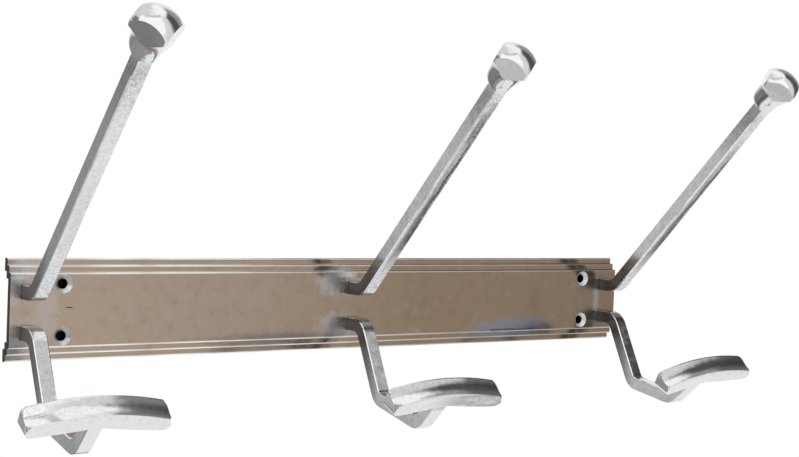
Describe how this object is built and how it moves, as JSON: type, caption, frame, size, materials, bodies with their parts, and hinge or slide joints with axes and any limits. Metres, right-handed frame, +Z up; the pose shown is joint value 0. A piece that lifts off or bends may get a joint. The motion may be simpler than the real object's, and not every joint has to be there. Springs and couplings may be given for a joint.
{
  "type": "wall coat rack",
  "caption": "Wall coat rack: a stepped metal strip with slanting hat arms ending in faceted knobs above, and bent coat hooks ending in curved cross-bows below.",
  "frame": {"origin": "centre of the rectangle of the four wall-screw holes, on the wall plane behind the back plate", "axes": "+X to the right along the plate, +Y into the wall, +Z up; the hooks stand out along -Y"},
  "size_m": [0.4499, 0.1547, 0.2023],
  "materials": {
    "plate_metal": "polished cast metal, reflecting a warm room",
    "arm_metal": "polished cast metal with fine pits and brushing",
    "hook_metal": "polished cast metal, worn on the bow",
    "screw_steel": "zinc-plated steel",
    "washer_steel": "spring steel, plated"
  },
  "bodies": {
    "root": {"back_plate": "plate_metal", "hat_arm_left": "arm_metal", "hat_arm_middle": "arm_metal", "hat_arm_right": "arm_metal", "coat_hook_left": "hook_metal", "coat_hook_middle": "hook_metal", "coat_hook_right": "hook_metal", "arm_screws": "screw_steel", "spring_washers": "washer_steel"}
  },
  "joints": []
}
